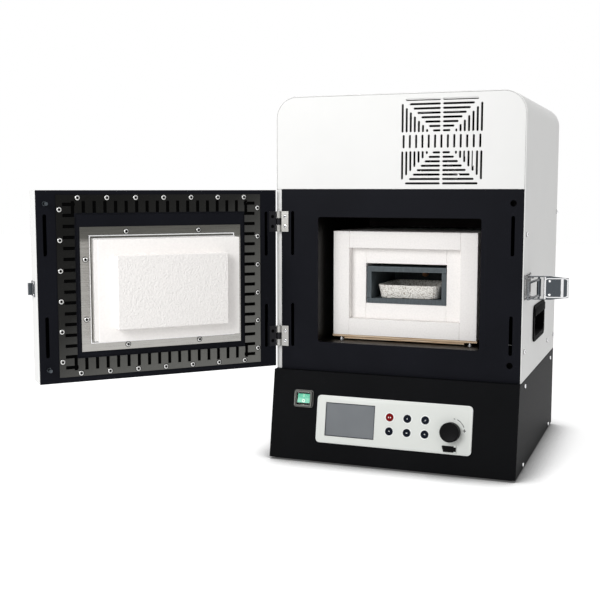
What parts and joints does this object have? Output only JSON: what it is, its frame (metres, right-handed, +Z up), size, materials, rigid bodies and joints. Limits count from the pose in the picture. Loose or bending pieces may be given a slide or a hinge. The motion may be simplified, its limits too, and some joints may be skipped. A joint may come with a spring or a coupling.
{
  "type": "microwave sintering furnace",
  "caption": "Bench-top microwave sintering furnace: upright case on a sloping control base, side-hinged plug door with a choke comb, board-lined chamber with a tray, side draw latch.",
  "frame": {"origin": "on the floor, under the middle of the case, in the plane its foot strip rests on", "axes": "+Z up; -Y out of the front, where the door and the controls are; +X to the right seen from the front"},
  "size_m": [0.702, 0.6537, 0.5453],
  "materials": {
    "cover_white": "fine texture powder coat",
    "plate_black": "satin powder coat",
    "base_black": "fine matte powder coat",
    "deck_black": "matte powder coat",
    "liner_steel": "dark, rolled",
    "fibre_board": "matte, fibrous",
    "fibre_block": "matte, pitted",
    "heater_ceramic": "matte, pressed",
    "tray_ceramic": "open granular",
    "support_mica": "layered sheet",
    "steel_bright": "polished",
    "stainless": "brushed",
    "hinge_dark": "dark, satin",
    "comb_grey": "bead blasted",
    "screw_steel": "turned",
    "rubber_black": "matte",
    "plastic_black": "satin",
    "button_dark": "satin",
    "button_red": "satin",
    "panel_white": "satin",
    "screen_glass": "dark, glossy",
    "board_green": "solder mask",
    "rocker_green": "translucent",
    "clear_cover": "clear, flexible",
    "alumina": "fired tube",
    "copper_coil": "varnished windings",
    "aluminium_part": "stamped"
  },
  "bodies": {
    "cabinet": {"base_tray": "base_black", "base_front": "base_black", "base_deck": "deck_black", "foot_strip": "rubber_black", "cover": "cover_white", "grille_panel": "cover_white", "front_plate": "plate_black", "rear_panel": "cover_white", "cavity_liner": "liner_steel", "support_plate": "support_mica", "support_feet": "screw_steel", "outer_side_boards": "fibre_board", "outer_cross_boards": "fibre_board", "back_boards": "fibre_board", "inner_side_boards": "fibre_board", "inner_cross_boards": "fibre_board", "heating_box": "heater_ceramic", "thermocouple": "alumina", "waveguide": "aluminium_part", "magnetron": "aluminium_part", "transformer": "copper_coil", "capacitor": "aluminium_part", "power_inlet": "plastic_black", "fan_housing": "plastic_black", "control_plate": "panel_white", "control_board": "board_green", "display": "screen_glass", "switch_housing": "plastic_black", "switch_cover": "clear_cover", "side_handles": "plastic_black", "hinge_leaves": "stainless", "hinge_pins": "steel_bright", "latch_base": "steel_bright", "interlock_switches": "plastic_black", "case_screws": "steel_bright"},
    "door": {"door_shell": "cover_white", "door_plate": "plate_black", "choke_comb": "comb_grey", "choke_plate": "plate_black", "plug_holder": "stainless", "plug_base_block": "fibre_block", "plug_top_block": "fibre_block", "door_screws": "screw_steel", "door_hinge_leaves": "hinge_dark", "interlock_pins": "screw_steel", "keeper": "steel_bright"},
    "lever": {"latch_lever": "steel_bright"},
    "bail": {"latch_bail": "steel_bright"},
    "crucible_tray": {"tray": "tray_ceramic"},
    "knob": {"knob": "plastic_black"},
    "rocker": {"rocker": "rocker_green"},
    "port_flap": {"usb_flap": "rubber_black"},
    "rotor": {"fan_rotor": "plastic_black"},
    "button_1": {"button_1": "button_red"},
    "button_2": {"button_2": "button_dark"},
    "button_3": {"button_3": "button_dark"},
    "button_4": {"button_4": "button_dark"},
    "button_5": {"button_5": "button_dark"},
    "button_6": {"button_6": "button_dark"}
  },
  "joints": [
    {"name": "door_swing", "type": "hinge", "parent": "cabinet", "child": "door", "pos_m": [-0.1815, -0.1665, 0.2727], "axis": [0, 0, -1], "range_deg": [-132.9, 30]},
    {"name": "latch_lever_swing", "type": "hinge", "parent": "cabinet", "child": "lever", "pos_m": [0.193, -0.1458, 0.2708], "axis": [0, 0, -1], "range_deg": [-75, 35]},
    {"name": "latch_bail_swing", "type": "hinge", "parent": "lever", "child": "bail", "pos_m": [0.20441, -0.14209, 0.2708], "axis": [0, 0, -1], "range_deg": [-35, 75]},
    {"name": "tray_slide", "type": "slide", "parent": "cabinet", "child": "crucible_tray", "axis": [0, -1, 0], "range_m": [0, 0.25]},
    {"name": "button_1_press", "type": "slide", "parent": "cabinet", "child": "button_1", "axis": [0, 0.9867, -0.1624], "range_m": [0, 0.0012], "stiffness_N_per_m": 400, "springref_m": -0.0005},
    {"name": "button_2_press", "type": "slide", "parent": "cabinet", "child": "button_2", "axis": [0, 0.9867, -0.1624], "range_m": [0, 0.0012], "stiffness_N_per_m": 400, "springref_m": -0.0005},
    {"name": "button_3_press", "type": "slide", "parent": "cabinet", "child": "button_3", "axis": [0, 0.9867, -0.1624], "range_m": [0, 0.0012], "stiffness_N_per_m": 400, "springref_m": -0.0005},
    {"name": "button_4_press", "type": "slide", "parent": "cabinet", "child": "button_4", "axis": [0, 0.9867, -0.1624], "range_m": [0, 0.0012], "stiffness_N_per_m": 400, "springref_m": -0.0005},
    {"name": "button_5_press", "type": "slide", "parent": "cabinet", "child": "button_5", "axis": [0, 0.9867, -0.1624], "range_m": [0, 0.0012], "stiffness_N_per_m": 400, "springref_m": -0.0005},
    {"name": "button_6_press", "type": "slide", "parent": "cabinet", "child": "button_6", "axis": [0, 0.9867, -0.1624], "range_m": [0, 0.0012], "stiffness_N_per_m": 400, "springref_m": -0.0005},
    {"name": "knob_turn", "type": "hinge", "parent": "cabinet", "child": "knob", "pos_m": [0.0924, -0.19277, 0.06406], "axis": [0, -0.9867, 0.1624], "continuous": true},
    {"name": "rocker_tip", "type": "hinge", "parent": "cabinet", "child": "rocker", "pos_m": [-0.1348, -0.17941, 0.09348], "axis": [1, 0, 0], "range_deg": [0, 16]},
    {"name": "port_flap_swing", "type": "hinge", "parent": "cabinet", "child": "port_flap", "pos_m": [0.0996, -0.19337, 0.03943], "axis": [0, 0.1624, 0.9867], "range_deg": [0, 110]},
    {"name": "fan_spin", "type": "hinge", "parent": "cabinet", "child": "rotor", "pos_m": [0.0665, -0.1498, 0.4757], "axis": [0, 1, 0], "continuous": true}
  ],
  "couplings": [
    {"joint": "latch_bail_swing", "follows": "latch_lever_swing", "ratio": -1}
  ]
}
